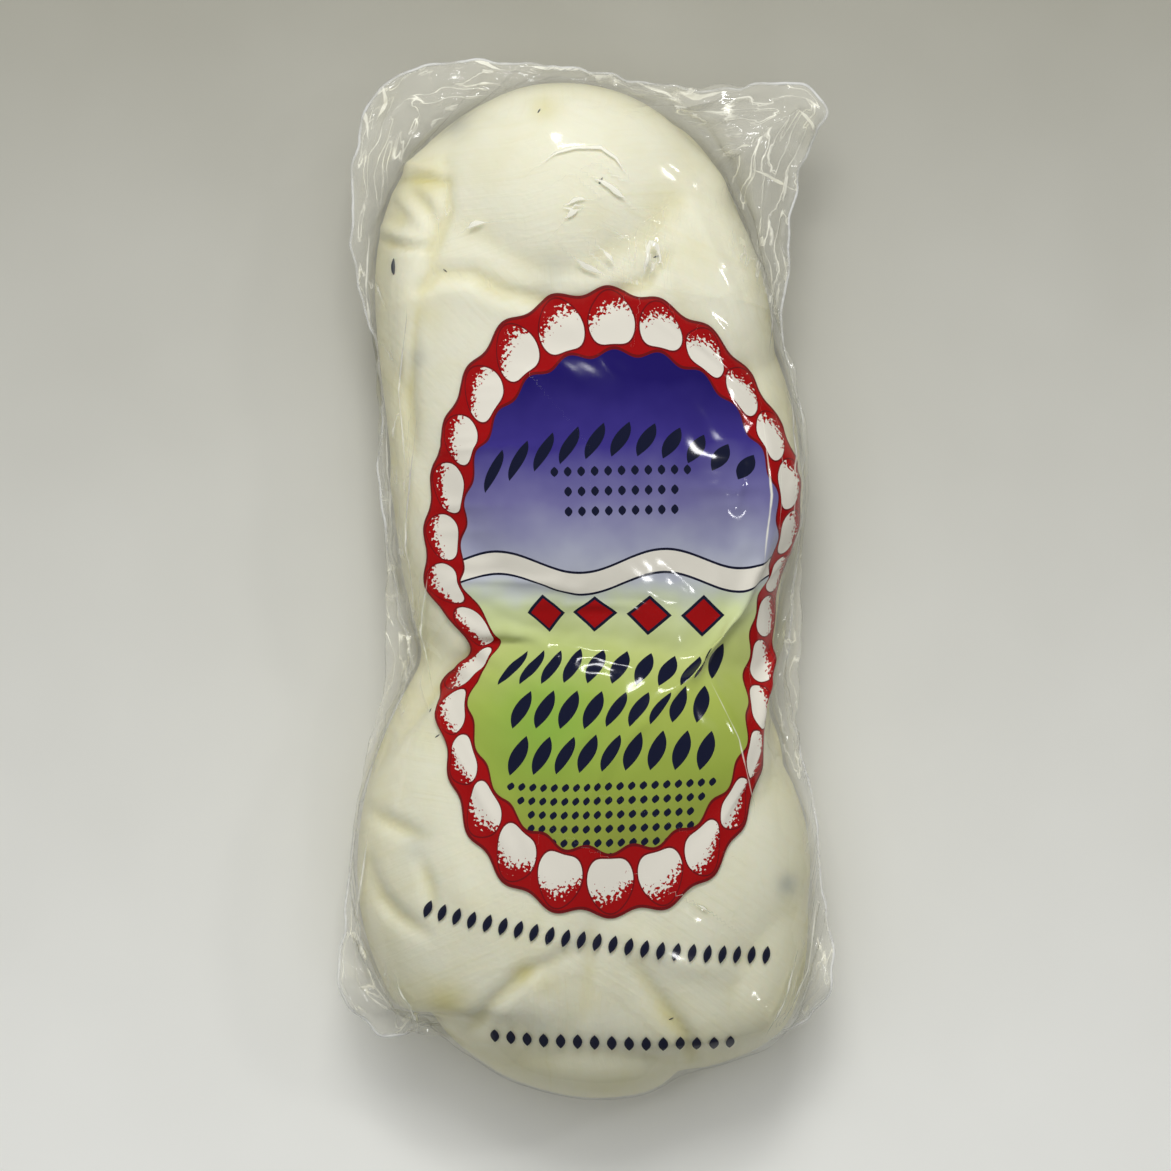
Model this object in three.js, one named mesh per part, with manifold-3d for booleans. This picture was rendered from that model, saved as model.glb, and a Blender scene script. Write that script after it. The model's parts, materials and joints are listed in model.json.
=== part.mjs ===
// A braid of string cheese, vacuum packed in a clear film pouch and lying on its back.
// Fat strands of pulled cheese are twisted over each other, and the film holds them so tightly that
// pack and cheese are one solid. The pouch's two sheets meet at mid height in a thin margin that
// stands out round the cheese.
// Millimetres, +Z up, the pack's top towards +Y. The origin is under the middle of the pack, on the table.

import * as THREE from "three";
import { mergeVertices } from "three/addons/utils/BufferGeometryUtils.js";
import Module from "manifold-3d";

// Driving dimensions
const packLength = 208; // along Y, from the pouch's top edge to the cheese's lower tip
const packWidth = 100; // along X, over the two lower ears of the pouch
const packHeight = 40; // at the thickest strand
const marginHeight = 0.42 * packHeight; // middle of the pouch's margin above the table
const marginThickness = 1.4; // two sheets of film with their crinkles
const crinklePitch = 9; // along the margin's edge
const crinkleDepth = 0.35;

// Fineness of the facets
const strandSides = 20;
const ringPitch = 7; // along a strand
const capRings = 4;
const edgeSteps = 190;

// A strand's rounded end, as a share of its width.
const capShare = 0.3;

// Below 1 a strand's section is a little square, as its neighbours and the film press on it.
const squareness = 0.86;

// Strands of cheese, each as stations along its middle: x and y as shares of half the pack's width
// and length, z as a share of its height, then half the strand's width and height in millimetres.
const strands = {
  heart: [ // the inner strands, which fill the pack between the ones that show
    [-0.1, 0.72, 0.41, 33, 14], [-0.06, 0.48, 0.41, 37, 14.4], [0.04, 0.22, 0.41, 38, 14.4],
    [0.03, -0.04, 0.42, 36, 14.6], [0.03, -0.22, 0.43, 34, 14.8], [0, -0.42, 0.41, 41, 14.4],
    [0.01, -0.6, 0.4, 43, 14], [0.05, -0.76, 0.4, 38, 13],
  ],
  topStrand: [
    [-0.4, 0.66, 0.52, 17, 14.5], [-0.16, 0.7, 0.57, 23, 15.8], [0.14, 0.69, 0.57, 23.5, 15.8],
    [0.36, 0.64, 0.52, 18, 14.5],
  ],
  rightStrand: [
    [0.22, 0.79, 0.45, 12, 13], [0.38, 0.64, 0.49, 14, 14.6], [0.46, 0.48, 0.5, 14.5, 15.2],
    [0.6, 0.33, 0.48, 13, 15], [0.63, 0.17, 0.47, 11.5, 15], [0.6, -0.02, 0.44, 10, 14],
  ],
  leftStrand: [
    [-0.55, 0.78, 0.42, 9, 12.5], [-0.65, 0.64, 0.43, 10, 14], [-0.65, 0.48, 0.43, 9, 14],
    [-0.63, 0.3, 0.42, 8.5, 13.6], [-0.59, 0.1, 0.42, 9, 13.6], [-0.53, -0.1, 0.41, 8.5, 13],
  ],
  middleStrand: [
    [-0.34, 0.39, 0.54, 22, 14.6], [-0.13, 0.27, 0.6, 27, 16.2], [0.13, 0.1, 0.6, 27, 16.2],
    [0.38, -0.06, 0.55, 22, 15],
  ],
  lowerStrand: [
    [-0.32, -0.34, 0.53, 24, 14.5], [-0.1, -0.45, 0.58, 31, 16], [0.16, -0.58, 0.58, 31, 16],
    [0.38, -0.69, 0.51, 24, 14.5],
  ],
  lowerLeftStrand: [
    [-0.59, -0.34, 0.4, 11, 13], [-0.63, -0.5, 0.43, 13.5, 14.5], [-0.61, -0.66, 0.43, 14, 14.5],
    [-0.46, -0.79, 0.41, 13, 13.4],
  ],
  lowerRightStrand: [
    [0.56, -0.26, 0.42, 11, 13], [0.62, -0.44, 0.45, 12.5, 14.8], [0.65, -0.62, 0.45, 12.5, 14.8],
    [0.64, -0.77, 0.41, 11, 13.5],
  ],
  tipStrand: [
    [-0.3, -0.84, 0.41, 12, 12.8], [0.05, -0.89, 0.42, 12.5, 13.4], [0.28, -0.86, 0.41, 12, 12.8],
  ],
  backTopStrand: [
    [-0.42, 0.62, 0.34, 17, 13.4], [-0.1, 0.7, 0.34, 21, 14.2], [0.3, 0.66, 0.34, 17, 13.4],
  ],
  backUpperStrand: [
    [0.44, 0.42, 0.34, 20, 13.4], [0.16, 0.24, 0.34, 27, 14.4], [-0.16, 0.06, 0.34, 27, 14.4],
    [-0.4, -0.1, 0.34, 19, 13.4],
  ],
  backLowerStrand: [
    [0.4, -0.32, 0.34, 23, 13.4], [0.14, -0.47, 0.34, 31, 14.4], [-0.14, -0.6, 0.34, 31, 14.4],
    [-0.38, -0.71, 0.34, 22, 13.4],
  ],
};

// Edge of the pouch's margin, clockwise from the middle of the top: shares of half the width and length.
const marginEdge = [
  [-0.1, 0.985], [0.2, 0.96], [0.5, 0.94], [0.78, 0.955], [0.93, 0.935], [0.96, 0.885],
  [0.88, 0.82], [0.82, 0.66], [0.79, 0.47], [0.87, 0.3], [0.86, 0.12], [0.82, -0.08],
  [0.8, -0.22], [0.91, -0.42], [0.95, -0.6], [1, -0.73], [0.92, -0.83], [0.76, -0.88],
  [0.5, -0.86], [0, -0.84], [-0.5, -0.8], [-0.66, -0.87], [-0.84, -0.84], [-1, -0.775],
  [-0.96, -0.62], [-0.88, -0.43], [-0.74, -0.17], [-0.77, -0.02], [-0.83, 0.22], [-0.8, 0.4],
  [-0.9, 0.55], [-0.94, 0.7], [-0.9, 0.86], [-0.76, 0.97], [-0.42, 1],
];

const wasm = await Module();
wasm.setup();

function place(x, y, z) {
  return new THREE.Vector3((x * packWidth) / 2, (y * packLength) / 2, z * packHeight);
}

function toSolid(geometry) {
  const bare = geometry.index ? geometry.toNonIndexed() : geometry.clone();
  bare.deleteAttribute("normal");
  bare.deleteAttribute("uv");
  const merged = mergeVertices(bare, 1e-3);
  return new wasm.Manifold(
    new wasm.Mesh({
      numProp: 3,
      vertProperties: merged.attributes.position.array,
      triVerts: new Uint32Array(merged.index.array),
    }),
  );
}

function toGeometry(solid) {
  const mesh = solid.getMesh();
  const geometry = new THREE.BufferGeometry();
  geometry.setAttribute("position", new THREE.BufferAttribute(mesh.vertProperties, 3));
  geometry.setIndex(new THREE.BufferAttribute(mesh.triVerts, 1));
  geometry.computeVertexNormals();
  return geometry;
}

// Half outline of a spindle of unit girth along the Y axis: a straight middle between two rounded caps.
function spindleProfile(length, cap) {
  const points = [];
  for (let i = 0; i <= capRings; i++) {
    const angle = (i / capRings) * (Math.PI / 2);
    points.push(new THREE.Vector2(Math.sin(angle), cap * (1 - Math.cos(angle))));
  }
  const middleRings = Math.max(2, Math.round((length - 2 * cap) / ringPitch));
  for (let i = 1; i < middleRings; i++) {
    points.push(new THREE.Vector2(1, cap + ((length - 2 * cap) * i) / middleRings));
  }
  for (let i = capRings; i >= 0; i--) {
    const angle = (i / capRings) * (Math.PI / 2);
    points.push(new THREE.Vector2(Math.sin(angle), length - cap * (1 - Math.cos(angle))));
  }
  return points;
}

function squared(value) {
  return Math.sign(value) * Math.abs(value) ** squareness;
}

// A strand is a spindle bent through its stations. Where it would sink into the table it is pressed flat.
function strandGeometry(stations) {
  const middle = new THREE.CatmullRomCurve3(stations.map(([x, y, z]) => place(x, y, z)));
  const girth = new THREE.CatmullRomCurve3(
    stations.map(([, , , halfWidth, halfHeight]) => new THREE.Vector3(halfWidth, halfHeight, 0)),
  );
  const routeLength = middle.getLength();
  const cap = capShare * (stations[0][3] + stations.at(-1)[3]);
  const spindle = new THREE.LatheGeometry(spindleProfile(routeLength + 2 * cap, cap), strandSides);
  const up = new THREE.Vector3(0, 0, 1);
  const position = spindle.getAttribute("position");
  for (let i = 0; i < position.count; i++) {
    const along = position.getY(i) - cap;
    const share = THREE.MathUtils.clamp(along / routeLength, 0, 1);
    const half = girth.getPoint(middle.getUtoTmapping(share));
    const tangent = middle.getTangentAt(share).setZ(0).normalize();
    const side = new THREE.Vector3().crossVectors(tangent, up);
    const point = middle.getPointAt(share)
      .addScaledVector(tangent, along - share * routeLength)
      .addScaledVector(side, squared(position.getX(i)) * half.x)
      .addScaledVector(up, squared(position.getZ(i)) * half.y);
    position.setXYZ(i, point.x, point.y, Math.max(point.z, 0));
  }
  return spindle;
}

// The margin is a thin plate with a crinkled edge.
function marginGeometry() {
  const edge = new THREE.CatmullRomCurve3(marginEdge.map(([x, y]) => place(x, y, 0)), true, "centripetal");
  const edgeLength = edge.getLength();
  const crinkles = Math.round(edgeLength / crinklePitch);
  const outline = [];
  for (let i = 0; i < edgeSteps; i++) {
    const share = i / edgeSteps;
    const tangent = edge.getTangentAt(share);
    const wave = crinkleDepth * (Math.sin(2 * Math.PI * crinkles * share) - 1);
    const point = edge.getPointAt(share);
    outline.push(new THREE.Vector2(point.x - tangent.y * wave, point.y + tangent.x * wave));
  }
  const shape = new THREE.Shape(outline);
  const plate = new THREE.ExtrudeGeometry(shape, { depth: marginThickness, bevelEnabled: false });
  plate.translate(0, 0, marginHeight - marginThickness / 2);
  return plate;
}

// Stretches the pack a little, so that its box is exactly the driving size with the origin under its middle.
function fitToPack(geometry) {
  geometry.computeBoundingBox();
  const box = geometry.boundingBox;
  const size = box.getSize(new THREE.Vector3());
  const centre = box.getCenter(new THREE.Vector3());
  geometry.translate(-centre.x, -centre.y, -box.min.z);
  geometry.scale(packWidth / size.x, packLength / size.y, packHeight / size.z);
  return geometry;
}

let pack = toSolid(marginGeometry());
for (const strand of Object.values(strands)) {
  pack = pack.add(toSolid(strandGeometry(strand)));
}

const filmOverCheese = new THREE.MeshStandardMaterial({ color: 0xe9e6d0, roughness: 0.25, metalness: 0 });
const sealedPack = new THREE.Mesh(fitToPack(toGeometry(pack)), filmOverCheese);
sealedPack.name = "sealed_pack";

const stringCheesePack = new THREE.Group();
stringCheesePack.add(sealedPack);

export default stringCheesePack;
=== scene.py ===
import json
import math
from functools import partial

import bpy
import numpy as np
from mathutils import Matrix, Vector, noise

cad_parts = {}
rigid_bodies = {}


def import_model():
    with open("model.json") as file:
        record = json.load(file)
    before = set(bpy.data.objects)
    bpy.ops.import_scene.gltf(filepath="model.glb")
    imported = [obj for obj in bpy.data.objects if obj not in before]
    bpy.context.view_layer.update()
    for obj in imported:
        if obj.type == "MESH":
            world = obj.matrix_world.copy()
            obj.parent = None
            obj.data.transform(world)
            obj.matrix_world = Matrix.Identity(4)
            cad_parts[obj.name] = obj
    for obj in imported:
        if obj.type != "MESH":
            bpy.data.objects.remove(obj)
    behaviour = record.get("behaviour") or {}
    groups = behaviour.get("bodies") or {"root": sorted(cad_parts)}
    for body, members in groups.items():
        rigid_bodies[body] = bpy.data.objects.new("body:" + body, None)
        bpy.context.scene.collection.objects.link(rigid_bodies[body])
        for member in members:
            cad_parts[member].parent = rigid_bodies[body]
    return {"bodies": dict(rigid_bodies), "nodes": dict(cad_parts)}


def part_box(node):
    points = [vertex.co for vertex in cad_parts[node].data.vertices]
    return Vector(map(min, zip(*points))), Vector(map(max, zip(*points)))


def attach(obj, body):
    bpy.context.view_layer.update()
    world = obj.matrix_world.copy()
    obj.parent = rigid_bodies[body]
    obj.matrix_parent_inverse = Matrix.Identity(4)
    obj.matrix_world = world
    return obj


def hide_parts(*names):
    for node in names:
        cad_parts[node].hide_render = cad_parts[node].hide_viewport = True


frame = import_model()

framed = {*frame["nodes"].values(), *frame["bodies"].values()}
for leftover in [thing for thing in bpy.data.objects if thing not in framed]:
    bpy.data.objects.remove(leftover)

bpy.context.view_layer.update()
packLow, packHigh = (Vector(corner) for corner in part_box("sealed_pack"))
packMiddle = (packLow + packHigh) / 2
halfWidth = (packHigh.x - packLow.x) / 2
halfLength = (packHigh.y - packLow.y) / 2
packHeight = packHigh.z - packLow.z
marginShare = 0.42
marginHeight = packLow.z + marginShare * packHeight  # where the pouch's two sheets meet
millimetre = 0.001
perMetre = 1000  # for a pattern sized in millimetres on coordinates in metres

# the signs that stand for a sum in the shaders
sums = {"+": "ADD", "-": "SUBTRACT", "*": "MULTIPLY", "/": "DIVIDE", "*+": "MULTIPLY_ADD", "^": "POWER",
        "<": "LESS_THAN", ">": "GREATER_THAN", "max": "MAXIMUM", "abs": "ABSOLUTE", "floor": "FLOOR",
        "part": "FRACT", "exp": "EXPONENT", "sin": "SINE", "cos": "COSINE", "angle": "ARCTAN2"}


def place(x, y, z):
    # shares of half the pack's width and length, and of its height, to metres
    return Vector((packMiddle.x + x * halfWidth, packMiddle.y + y * halfLength, packLow.z + z * packHeight))


def spotAt(x, y):
    return np.array(place(x, y, 0))[:2]


def selectOnly(*pieces):
    bpy.ops.object.select_all(action="DESELECT")
    for piece in pieces:
        piece.select_set(True)
    bpy.context.view_layer.objects.active = pieces[0]


def setAll(thing, settings):
    for name, value in settings.items():
        setattr(thing, name, value)
    return thing


def addMesh(shape, **settings):
    bpy.ops.object.select_all(action="DESELECT")
    getattr(bpy.ops.mesh, f"primitive_{shape}_add")(**settings)
    return bpy.context.object


def addPath(name, kind, points):
    # a curve with one spline, through points that are each a place and a radius
    bpy.ops.object.select_all(action="DESELECT")
    bpy.ops.curve.primitive_nurbs_path_add()
    path = bpy.context.object
    path.name = name
    path.location = (0, 0, 0)
    path.data.splines.clear()
    spline = path.data.splines.new(kind)
    spline.points.add(len(points) - 1)
    for point, (position, radius) in zip(spline.points, points):
        point.co = (*position, 1)
        point.radius = radius
    return path, spline


def joined(name, pieces):
    selectOnly(*pieces)
    bpy.ops.object.join()
    bpy.context.object.name = name
    return bpy.context.object


def addModifier(piece, kind, **settings):
    return setAll(piece.modifiers.new(kind.lower(), kind), settings)


def applyModifier(piece, kind, **settings):
    modifier = addModifier(piece, kind, **settings)
    selectOnly(piece)
    bpy.ops.object.modifier_apply(modifier=modifier.name)


def readValues(items, name, width=1, kind=float):
    values = np.empty(len(items) * width, dtype=kind)
    items.foreach_get(name, values)
    return values.reshape(-1, width) if width > 1 else values


def vertexPlaces(mesh):
    return readValues(mesh.vertices, "co", 3)


def setVertexPlaces(mesh, places):
    mesh.vertices.foreach_set("co", places.ravel())
    mesh.update()


def storeValues(mesh, name, values, kind="FLOAT"):
    attribute = mesh.attributes.new(name, kind, "POINT")
    slot = "vector" if kind == "FLOAT_VECTOR" else "value"
    attribute.data.foreach_set(slot, np.asarray(values, float).ravel())


def distanceShare(places, x, y, radius):
    # how far each point is from a spot, seen from above, as a share of a radius in millimetres
    return np.linalg.norm(places[:, :2] - spotAt(x, y), axis=1) / (radius * millimetre)


def eased(values):
    # a soft step from 0 to 1
    share = np.clip(values, 0, 1)
    return share * share * (3 - 2 * share)


def smoothedBy(mesh, places, rounds):
    # each point moved to the mean of its neighbours, round after round
    ends = readValues(mesh.edges, "vertices", 2, np.int32)
    count = np.maximum(np.bincount(ends.ravel(), minlength=len(places)), 1)[:, None]
    for k in range(rounds):
        total = np.zeros_like(places)
        np.add.at(total, ends[:, 0], places[ends[:, 1]])
        np.add.at(total, ends[:, 1], places[ends[:, 0]])
        places = total / count
    return places


def linearColour(hexColour):
    channels = (int(hexColour[i:i + 2], 16) / 255 for i in (0, 2, 4))
    return tuple(c / 12.92 if c <= 0.04045 else ((c + 0.055) / 1.055) ** 2.4 for c in channels) + (1.0,)


def addNode(tree, kind, inputs=(), **settings):
    # kind is a shader node or the sign of a sum; inputs go by order, number or name, and are values, hex
    # colours, or nodes and sockets to link
    if kind in sums:
        kind, settings = "Math", {**settings, "operation": sums[kind]}
    node = setAll(tree.nodes.new("ShaderNode" + kind), settings)
    for socket, value in (inputs.items() if isinstance(inputs, dict) else enumerate(inputs)):
        if isinstance(value, str):
            value = linearColour(value)
        if isinstance(value, bpy.types.Node):
            value = value.outputs[0]
        if isinstance(value, bpy.types.NodeSocket):
            tree.links.new(value, node.inputs[socket])
        elif value is not None:
            node.inputs[socket].default_value = value
    return node


def newMaterial(name):
    # the material, what adds a node to it, and the socket with the places on the object
    material = bpy.data.materials.new(name)
    material.use_nodes = True
    material.node_tree.nodes.clear()
    add = partial(addNode, material.node_tree)
    return material, add, add("TexCoord").outputs["Object"]


# The braid: each strand has its half height in millimetres and its stations, which are x and y as shares of
# half the pack's width and length, z as a share of its height, and half the strand's width in millimetres.
cheeseBraid = {
    "strands": {
        "body": (16.4, [(-0.12, 0.91, 0.45, 5), (-0.13, 0.895, 0.45, 20), (-0.12, 0.83, 0.43, 29),
            (-0.11, 0.73, 0.42, 35), (-0.095, 0.61, 0.42, 38), (-0.065, 0.48, 0.42, 38.5),
            (-0.02, 0.365, 0.42, 39.2), (0.04, 0.25, 0.42, 41.5), (0.045, 0.15, 0.42, 41),
            (0.03, 0.04, 0.42, 38.8), (0.05, -0.08, 0.42, 36), (0.045, -0.19, 0.42, 34.2),
            (0.015, -0.27, 0.42, 37.5), (-0.01, -0.385, 0.43, 43), (-0.01, -0.5, 0.43, 45.4),
            (0, -0.615, 0.43, 45.6), (0.02, -0.73, 0.42, 42), (0.045, -0.81, 0.41, 37.4),
            (0.03, -0.865, 0.4, 32), (0.03, -0.915, 0.39, 23), (0.04, -0.93, 0.38, 8)]),
        "top": (13, [(-0.44, 0.7, 0.55, 17), (-0.24, 0.725, 0.585, 23.5), (0.06, 0.735, 0.59, 23),
            (0.26, 0.69, 0.565, 17)]),
        "middle": (12.6, [(-0.42, 0.42, 0.575, 17), (-0.2, 0.31, 0.625, 27), (0.12, 0.14, 0.63, 31),
            (0.34, 0.02, 0.58, 22)]),
        "right": (13, [(0.24, 0.74, 0.5, 12), (0.38, 0.64, 0.52, 14), (0.47, 0.52, 0.525, 13.5),
            (0.52, 0.44, 0.515, 12)]),
        "rightLower": (13, [(0.6, 0.27, 0.5, 9), (0.68, 0.21, 0.5, 10), (0.67, 0.12, 0.5, 10),
            (0.6, 0.04, 0.48, 9)]),
        "left": (13, [(-0.58, 0.68, 0.45, 9), (-0.63, 0.6, 0.47, 9.5), (-0.63, 0.47, 0.47, 9),
            (-0.61, 0.38, 0.46, 8.5)]),
        "leftLower": (12, [(-0.61, 0.3, 0.46, 8), (-0.58, 0.2, 0.47, 9.5), (-0.54, 0.06, 0.47, 10),
            (-0.44, -0.12, 0.46, 9.5), (-0.36, -0.2, 0.45, 9)]),
        "lower": (12.8, [(-0.44, -0.48, 0.54, 23), (-0.25, -0.44, 0.59, 37), (0.05, -0.46, 0.605, 41),
            (0.3, -0.54, 0.59, 37), (0.46, -0.6, 0.53, 22)]),
        "lowerLeft": (12.4, [(-0.58, -0.52, 0.44, 12), (-0.57, -0.6, 0.46, 14), (-0.48, -0.68, 0.45, 13)]),
        "lowerRight": (13.4, [(0.62, -0.44, 0.44, 12), (0.63, -0.6, 0.455, 13.4),
            (0.62, -0.72, 0.455, 13.4), (0.6, -0.78, 0.44, 13)]),
        "tip": (12.8, [(-0.2, -0.825, 0.425, 15), (0, -0.85, 0.43, 15.5), (0.15, -0.85, 0.425, 15)]),
        "tipRight": (12.8, [(0.4, -0.81, 0.425, 14), (0.56, -0.79, 0.42, 13.5)]),
        "backTop": (13.4, [(-0.36, 0.62, 0.36, 16), (-0.1, 0.7, 0.36, 22), (0.24, 0.66, 0.36, 16)]),
        "backUpper": (13.6, [(0.3, 0.38, 0.345, 19), (0.14, 0.24, 0.35, 27), (-0.12, 0.06, 0.35, 27),
            (-0.3, -0.06, 0.345, 18)]),
        "backLower": (13.6, [(0.36, -0.34, 0.345, 22), (0.14, -0.47, 0.35, 31), (-0.1, -0.58, 0.35, 30),
            (-0.26, -0.62, 0.345, 20)]),
    },
    "cap": [(0.45, 0.92), (0.8, 0.66), (0.95, 0.1)],  # how far out and how thick, as shares of its width
    "voxel": 0.9 * millimetre,
    "smoothing": 12,
    "underside": 0.4 * millimetre,  # the film lies under it
    "foldEnd": 0.12,  # how far a fold has risen where its line begins and ends, as a share of its curve
    "foldSteep": 4,  # the larger, the further down the steep sides the folds stay full
    # ridges and furrows pressed into the upper side: a line in shares, half its width and its height in
    # millimetres, below nought for a furrow
    "folds": [
        ([(-0.64, 0.55), (-0.58, 0.577), (-0.45, 0.577), (-0.33, 0.545), (-0.1, 0.515), (0.08, 0.53),
         (0.25, 0.565), (0.32, 0.61)], 1.7, -1.6),
        ([(-0.6, 0.54), (-0.5, 0.545), (-0.36, 0.515), (-0.1, 0.485), (0.1, 0.5)], 2.4, 0.4),
        ([(-0.64, 0.55), (-0.68, 0.46), (-0.7, 0.35), (-0.68, 0.24)], 1.6, -1.2),
        ([(-0.91, -0.39), (-0.76, -0.3), (-0.6, -0.205), (-0.39, -0.125), (-0.236, -0.1),
         (-0.05, -0.1)], 2.2, -1.8),
        ([(0.1, -0.11), (0.4, -0.14), (0.62, -0.18), (0.8, -0.24)], 2.4, -1.2),
        ([(0.62, 0.44), (0.66, 0.36), (0.62, 0.24), (0.6, 0.12)], 2.2, -1.1),
        ([(-0.82, 0.8), (-0.68, 0.79), (-0.54, 0.77)], 1.2, 0.6),
        ([(-0.8, 0.765), (-0.64, 0.76), (-0.54, 0.75)], 1.1, -0.9),
        ([(-0.76, 0.74), (-0.68, 0.7), (-0.62, 0.66)], 1.2, 0.7),
        ([(-0.7, 0.745), (-0.62, 0.71), (-0.58, 0.67)], 1, -0.5),
        ([(-0.64, 0.745), (-0.58, 0.71), (-0.56, 0.66)], 1.1, 0.5),
        ([(-0.82, 0.68), (-0.74, 0.655), (-0.64, 0.645)], 1.2, 0.9),
        ([(-0.82, 0.65), (-0.72, 0.632), (-0.62, 0.628)], 1, -0.8),
        ([(-0.55, 0.79), (-0.54, 0.7), (-0.6, 0.62), (-0.62, 0.56)], 1.5, -1),
        ([(0.3, 0.62), (0.29, 0.58), (0.34, 0.5)], 2, 0.7),
        ([(-0.86, -0.54), (-0.81, -0.6), (-0.74, -0.635), (-0.63, -0.667)], 1.8, -1.5),
        ([(-0.85, -0.44), (-0.75, -0.465), (-0.63, -0.485)], 1.8, -1.3),
        ([(-0.64, -0.53), (-0.61, -0.58), (-0.59, -0.63)], 1.6, -1),
        ([(-0.5, -0.5), (-0.48, -0.58), (-0.4, -0.66)], 3, 0.6),
        ([(0.02, -0.64), (0.02, -0.72), (0, -0.82)], 2.2, -0.8),
        ([(-0.16, -0.68), (-0.2, -0.78), (-0.14, -0.88)], 2.4, 0.6),
        ([(0.14, -0.66), (0.36, -0.72), (0.6, -0.74)], 2.4, 0.6),
        ([(0.2, -0.73), (0.3, -0.8), (0.4, -0.87), (0.44, -0.94)], 1.8, -1.5),
        ([(-0.06, -0.7), (-0.24, -0.745), (-0.36, -0.8), (-0.46, -0.86)], 1.8, -1.3),
        ([(0.46, 0.72), (0.56, 0.62), (0.64, 0.52)], 2, -0.5),
        ([(0.36, 0.74), (0.48, 0.6), (0.58, 0.46)], 2, -0.5),
        ([(0.44, 0.46), (0.5, 0.3), (0.54, 0.14)], 2.2, -0.5),
    ],
    "creaseRounds": 14,  # of smoothing, to find the creases
    "creaseDepth": 0.35 * millimetre,
    "bodyBehind": 0.35,  # the body's fibres show only away from the strings
    "stringReach": 0.5,  # how far past each piece of a string its fibres are followed, as a share of it
    "stringApart": 7,  # between two strings' fibres, so that none match
    # x and y in shares, radius in mm and strength: buttery patches, and seeds that show grey through the curd
    "butter": [
        (-0.16, 0.89, 3, 0.5), (-0.62, 0.75, 3.5, 0.45), (0.3, 0.7, 4, 0.3), (0.7, 0.25, 3, 0.6),
        (-0.55, -0.8, 4, 0.6), (-0.24, -0.74, 2.5, 0.5), (-0.16, -0.76, 2.5, 0.3), (0.34, -0.82, 5, 0.25),
        (-0.6, 0.5, 4, 0.2), (0.45, 0.62, 5, 0.15),
    ],
    "seedShade": [
        (0.8, -0.577, 2.2, 0.5), (-0.13, 0.577, 3.5, 0.22), (-0.51, 0.87, 3, 0.35), (-0.66, 0.42, 2, 0.3),
        (0.3, -0.7, 2, 0.3), (-0.66, -0.5, 2.4, 0.25),
    ],
}


def layStrand(name, halfHeight, stations):
    # a flattened tube through the stations, with rounded ends
    bpy.ops.object.select_all(action="DESELECT")
    bpy.ops.curve.primitive_bezier_circle_add(radius=1)
    section = bpy.context.object
    meanWidth = sum(station[3] for station in stations) / len(stations)
    bpy.ops.object.mode_set(mode="EDIT")
    bpy.ops.curve.select_all(action="SELECT")
    bpy.ops.transform.resize(value=(1, halfHeight / meanWidth, 1))
    bpy.ops.object.mode_set(mode="OBJECT")

    middle = [place(x, y, z) for x, y, z, width in stations]
    widths = [width * millimetre for x, y, z, width in stations]
    route = list(zip(middle, widths))
    for end, inner in ((0, 1), (-1, -2)):
        outwards = (middle[end] - middle[inner]).normalized()
        cap = [(middle[end] + outwards * widths[end] * reach, widths[end] * girth)
               for reach, girth in cheeseBraid["cap"]]
        route = route + cap if end else cap[::-1] + route

    strand, spline = addPath(name, "NURBS", route)
    setAll(spline, {"order_u": 4, "use_endpoint_u": True, "resolution_u": 8})
    setAll(strand.data, {"twist_mode": "Z_UP", "bevel_mode": "OBJECT", "bevel_object": section,
                         "use_fill_caps": True})
    selectOnly(strand)
    bpy.ops.object.convert(target="MESH")
    bpy.data.objects.remove(section)
    return bpy.context.object


def alongFold(places, line):
    # how far each point is from the line, seen from above and signed by its side, and how full the fold is
    route = np.array([spotAt(x, y) for x, y in line])
    across = np.full(len(places), np.inf)
    shareAlong = np.zeros(len(places))
    for i, (start, end) in enumerate(zip(route[:-1], route[1:])):
        way = end - start
        aside = places[:, :2] - start
        share = np.clip(aside @ way / (way @ way), 0, 1)
        gap = np.linalg.norm(aside - share[:, None] * way, axis=1)
        closer = gap < np.abs(across)
        across[closer] = (gap * np.sign(aside[:, 0] * way[1] - aside[:, 1] * way[0]))[closer]
        shareAlong[closer] = (i + share[closer]) / (len(route) - 1)
    foldEnd = cheeseBraid["foldEnd"]
    return across, np.sin(np.pi * np.clip(foldEnd + (1 - 2 * foldEnd) * shareAlong, 0, 1))


def pressFolds(mesh, places, folds):
    normals = readValues(mesh.vertex_normals, "vector", 3)
    upper = np.clip(normals[:, 2] * cheeseBraid["foldSteep"], 0, 1)
    for line, width, height, *paintedHighlight in folds:
        across, fullness = alongFold(places, line)
        rise = height * millimetre * fullness * np.exp(-(across / (width * millimetre)) ** 2) * upper
        places += normals * rise[:, None]


def grainOf(places):
    # across, along and a number for the string that each point belongs to, in millimetres, so that the fibres
    # run along the strings
    grain = np.zeros((len(places), 3))
    best = np.full(len(places), np.inf)
    reach = cheeseBraid["stringReach"]
    for number, (name, (halfHeight, stations)) in enumerate(cheeseBraid["strands"].items()):
        route = np.array([place(x, y, z) for x, y, z, width in stations])
        width = sum(station[3] for station in stations) / len(stations) * millimetre
        behind = cheeseBraid["bodyBehind"] if name == "body" else 0
        travelled = 0
        for start, end in zip(route[:-1], route[1:]):
            way = end - start
            length = np.linalg.norm(way)
            share = np.clip((places - start) @ way / length ** 2, -reach, 1 + reach)
            aside = places - start - share[:, None] * way
            gap = np.linalg.norm(aside, axis=1) / width + behind
            closer = gap < best
            best[closer] = gap[closer]
            sideways = np.cross(way / length, (0, 0, 1))
            grain[closer, 0] = (aside[closer] @ sideways) / millimetre
            grain[closer, 1] = (travelled + share[closer] * length) / millimetre
            grain[closer, 2] = number * cheeseBraid["stringApart"]
            travelled += length
    return grain


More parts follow.
